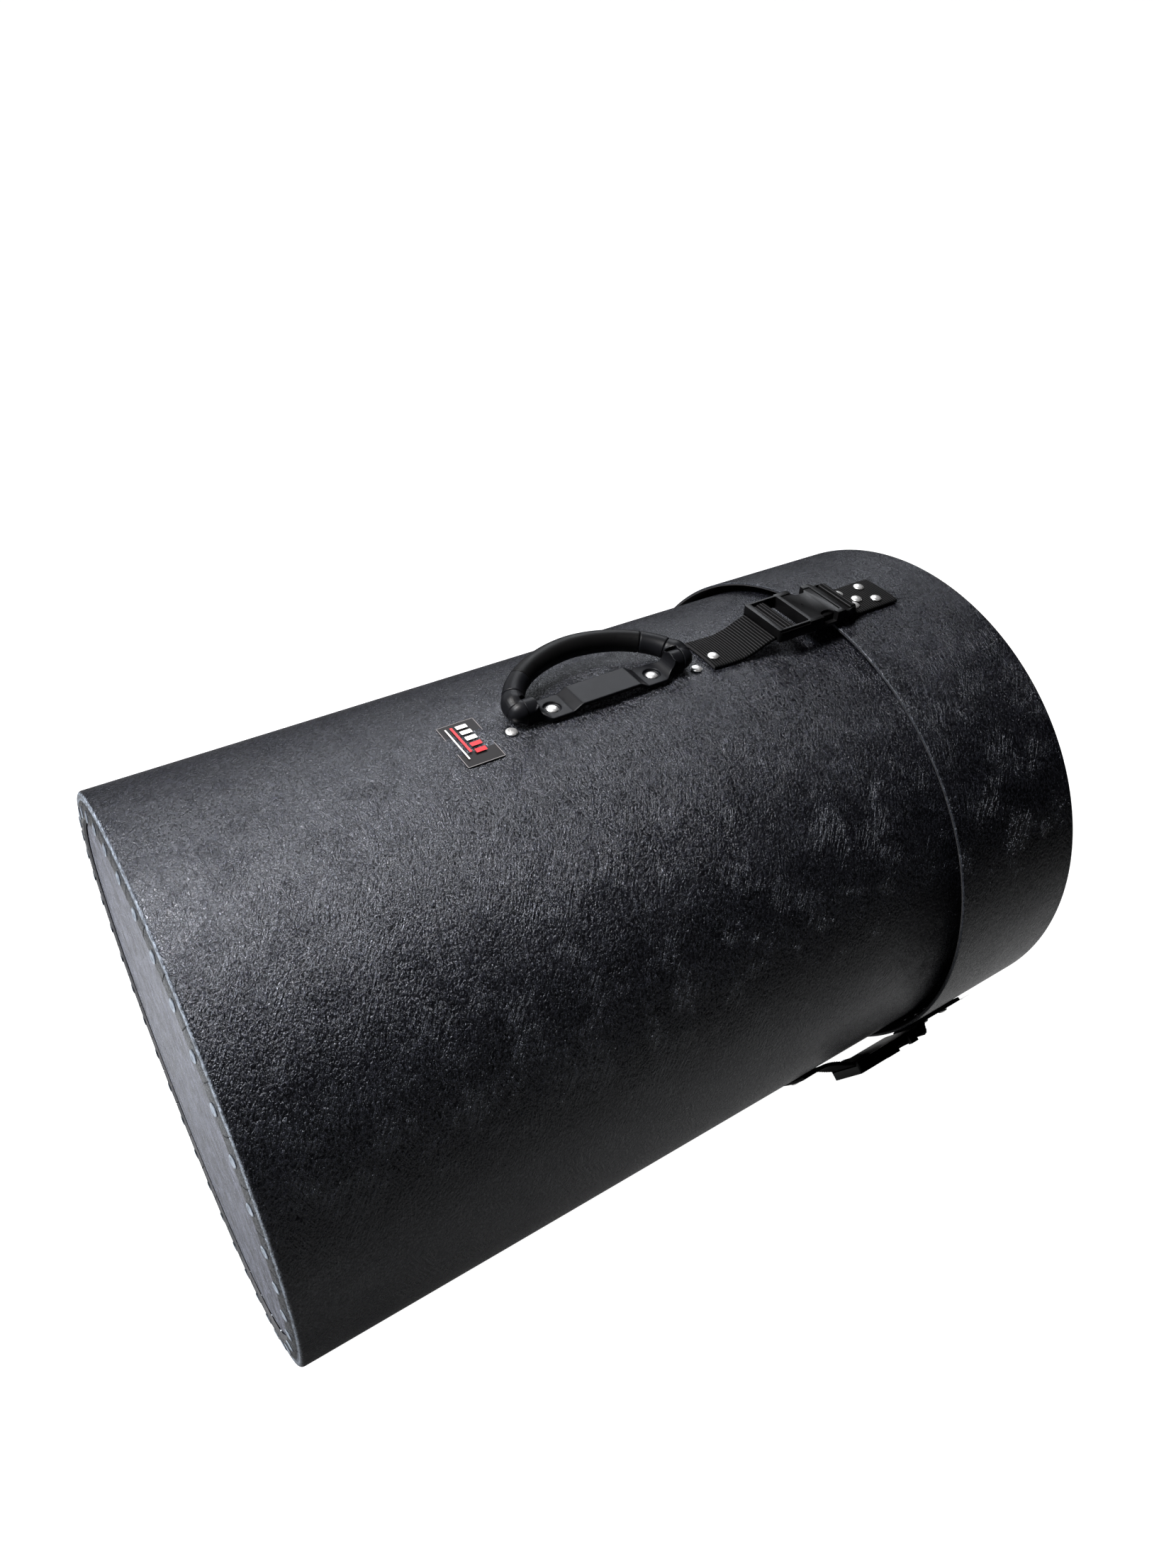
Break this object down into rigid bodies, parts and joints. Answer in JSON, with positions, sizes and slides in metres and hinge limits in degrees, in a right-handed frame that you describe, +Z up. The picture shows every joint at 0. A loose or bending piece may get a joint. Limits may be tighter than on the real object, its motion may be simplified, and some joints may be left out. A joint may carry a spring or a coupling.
{
  "type": "round storage case",
  "caption": "Round fibre drum case with a telescoping lid, riveted end tabs, buckled straps and a folding bail handle.",
  "frame": {"origin": "centre of the footprint, on the floor the case lies on", "axes": "+X from the base to the lid along the case's axis, +Z up through the handle, +Y towards the side the handle folds to"},
  "size_m": [0.718, 0.46, 0.4719],
  "materials": {
    "black_fibre": "leathery embossed vulcanised fibre",
    "label_print": "satin printed film",
    "black_moulding": "satin moulded",
    "grip_rubber": "fine matt texture",
    "black_acetal": "satin moulded",
    "black_webbing": "ribbed woven webbing",
    "nickel_plate": "bright nickel plated",
    "zinc_steel": "zinc plated"
  },
  "bodies": {
    "case": {"body_wall": "black_fibre", "base_disc": "black_fibre", "label": "label_print", "backing_plate": "black_fibre", "backing_rivet_1": "nickel_plate", "backing_rivet_2": "nickel_plate", "handle_bracket": "black_moulding", "bracket_rivet_1": "nickel_plate", "bracket_rivet_2": "nickel_plate", "strap_1_body_webbing": "black_webbing", "strap_1_buckle_socket": "black_acetal", "strap_1_body_rivet": "nickel_plate", "strap_2_body_webbing": "black_webbing", "strap_2_buckle_socket": "black_acetal", "strap_2_body_rivet": "nickel_plate", "strap_3_body_webbing": "black_webbing", "strap_3_buckle_socket": "black_acetal", "strap_3_body_rivet": "nickel_plate"},
    "lid": {"lid_wall": "black_fibre", "lid_disc": "black_fibre", "strap_1_lid_webbing": "black_webbing", "strap_1_buckle_plug": "black_acetal", "strap_1_lid_rivet_1": "nickel_plate", "strap_1_lid_rivet_2": "nickel_plate", "strap_1_lid_rivet_3": "nickel_plate", "strap_1_lid_rivet_4": "nickel_plate", "strap_1_lid_rivet_5": "nickel_plate", "strap_2_lid_webbing": "black_webbing", "strap_2_buckle_plug": "black_acetal", "strap_2_lid_rivet_1": "nickel_plate", "strap_2_lid_rivet_2": "nickel_plate", "strap_2_lid_rivet_3": "nickel_plate", "strap_2_lid_rivet_4": "nickel_plate", "strap_2_lid_rivet_5": "nickel_plate", "strap_3_lid_webbing": "black_webbing", "strap_3_buckle_plug": "black_acetal", "strap_3_lid_rivet_1": "nickel_plate", "strap_3_lid_rivet_2": "nickel_plate", "strap_3_lid_rivet_3": "nickel_plate", "strap_3_lid_rivet_4": "nickel_plate", "strap_3_lid_rivet_5": "nickel_plate"},
    "handle": {"handle_core": "zinc_steel", "handle_grip": "grip_rubber", "handle_collar_1": "black_moulding", "handle_collar_2": "black_moulding", "handle_cap_1": "black_moulding", "handle_cap_2": "black_moulding", "handle_pin_1": "zinc_steel", "handle_pin_2": "zinc_steel"},
    "strap_1_left_arm": {"strap_1_prong_left": "black_acetal"},
    "strap_1_right_arm": {"strap_1_prong_right": "black_acetal"},
    "strap_2_left_arm": {"strap_2_prong_left": "black_acetal"},
    "strap_2_right_arm": {"strap_2_prong_right": "black_acetal"},
    "strap_3_left_arm": {"strap_3_prong_left": "black_acetal"},
    "strap_3_right_arm": {"strap_3_prong_right": "black_acetal"}
  },
  "joints": [
    {"name": "lid_slide", "type": "slide", "parent": "case", "child": "lid", "axis": [1, 0, 0], "range_m": [0, 0.25]},
    {"name": "handle_fold", "type": "hinge", "parent": "case", "child": "handle", "pos_m": [0, 0, 0.45852], "axis": [1, 0, 0], "range_deg": [0, 155]},
    {"name": "strap_1_left_squeeze", "type": "hinge", "parent": "lid", "child": "strap_1_left_arm", "pos_m": [0.2241, 0.0135, 0.46652], "axis": [0, 0, 1], "range_deg": [0, 5], "stiffness_Nm_per_rad": 0.3},
    {"name": "strap_1_right_squeeze", "type": "hinge", "parent": "lid", "child": "strap_1_right_arm", "pos_m": [0.2241, -0.0135, 0.46652], "axis": [0, 0, -1], "range_deg": [0, 5], "stiffness_Nm_per_rad": 0.3},
    {"name": "strap_2_left_squeeze", "type": "hinge", "parent": "lid", "child": "strap_2_left_arm", "pos_m": [0.2241, -0.21217, 0.12241], "axis": [0, -0.866, -0.5], "range_deg": [0, 5], "stiffness_Nm_per_rad": 0.3},
    {"name": "strap_2_right_squeeze", "type": "hinge", "parent": "lid", "child": "strap_2_right_arm", "pos_m": [0.2241, -0.19867, 0.09903], "axis": [0, 0.866, 0.5], "range_deg": [0, 5], "stiffness_Nm_per_rad": 0.3},
    {"name": "strap_3_left_squeeze", "type": "hinge", "parent": "lid", "child": "strap_3_left_arm", "pos_m": [0.2241, 0.19867, 0.09903], "axis": [0, 0.866, -0.5], "range_deg": [0, 5], "stiffness_Nm_per_rad": 0.3},
    {"name": "strap_3_right_squeeze", "type": "hinge", "parent": "lid", "child": "strap_3_right_arm", "pos_m": [0.2241, 0.21217, 0.12241], "axis": [0, -0.866, 0.5], "range_deg": [0, 5], "stiffness_Nm_per_rad": 0.3}
  ],
  "couplings": [
    {"joint": "strap_1_right_squeeze", "follows": "strap_1_left_squeeze", "ratio": 1},
    {"joint": "strap_2_right_squeeze", "follows": "strap_2_left_squeeze", "ratio": 1},
    {"joint": "strap_3_right_squeeze", "follows": "strap_3_left_squeeze", "ratio": 1}
  ]
}
